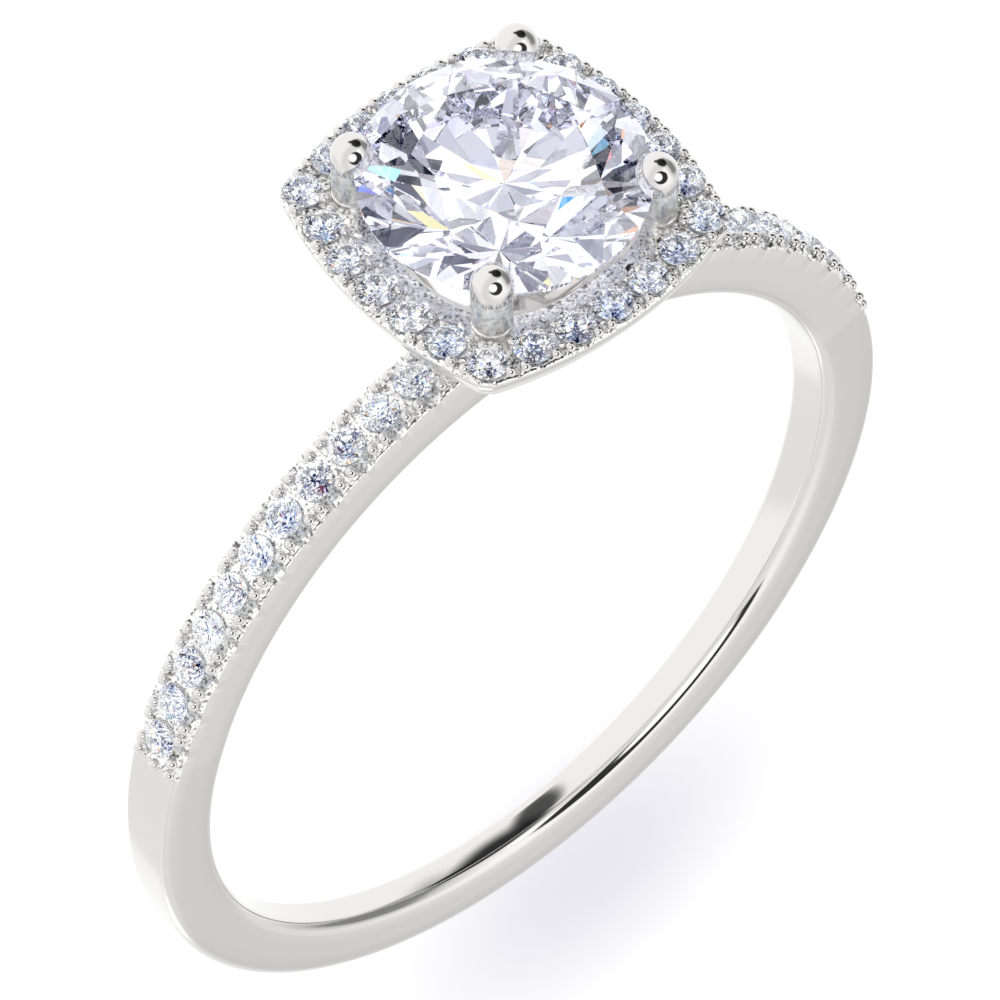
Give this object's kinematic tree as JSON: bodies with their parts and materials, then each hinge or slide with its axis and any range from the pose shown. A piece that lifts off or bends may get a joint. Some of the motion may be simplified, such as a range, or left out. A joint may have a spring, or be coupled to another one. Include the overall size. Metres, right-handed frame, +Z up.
{
  "type": "halo ring",
  "caption": "Finger ring with a pavé shank and a cushion-shaped halo of small stones round a claw-set round brilliant, lying on its side.",
  "frame": {"origin": "on the surface the ring lies on, under the middle of its outline seen from above", "axes": "+Z up from the surface, +Y from the bottom of the shank towards the centre stone, +X across the finger hole towards the right shoulder"},
  "size_m": [0.0202, 0.0258, 0.0079],
  "materials": {
    "white_gold": "rhodium-plated white gold, mirror polished",
    "gemstone": "colourless, brilliant cut and polished"
  },
  "bodies": {
    "root": {"setting": "white_gold", "centre_stone": "gemstone", "halo_stones": "gemstone", "left_shoulder_stones": "gemstone", "right_shoulder_stones": "gemstone"}
  },
  "joints": []
}
